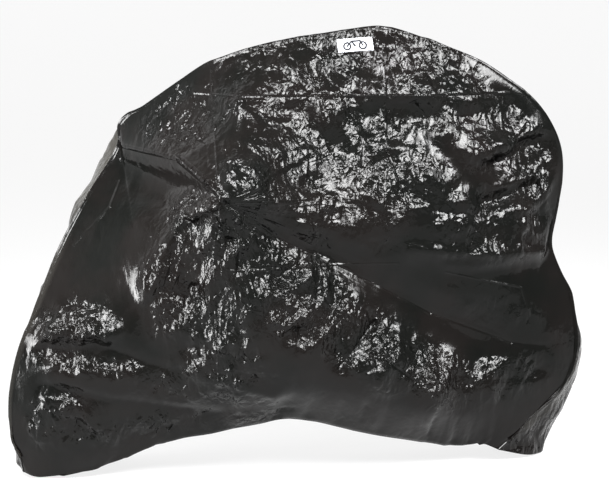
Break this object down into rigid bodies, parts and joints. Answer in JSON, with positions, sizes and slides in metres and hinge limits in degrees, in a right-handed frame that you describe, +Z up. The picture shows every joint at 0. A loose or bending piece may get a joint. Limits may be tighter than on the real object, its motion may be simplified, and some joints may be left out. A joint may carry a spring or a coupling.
{
  "type": "bicycle cover",
  "caption": "Glossy black film cover draped over a bicycle as a hollow tent, two side panels joined in a seam over the top, with a drawn-in hem and a small pale label",
  "frame": {"origin": "on the floor under the middle of the cover's bounding box", "axes": "X along the bicycle with its front towards -X, Y across with the near side towards -Y, Z up"},
  "size_m": [1.6665, 0.6177, 1.2538],
  "materials": {
    "film": "thin glossy black polyethylene film, crinkled, with soft sheen",
    "label": null
  },
  "bodies": {
    "root": {"panel_near": "film", "panel_far": "film", "label": "label"}
  },
  "joints": []
}
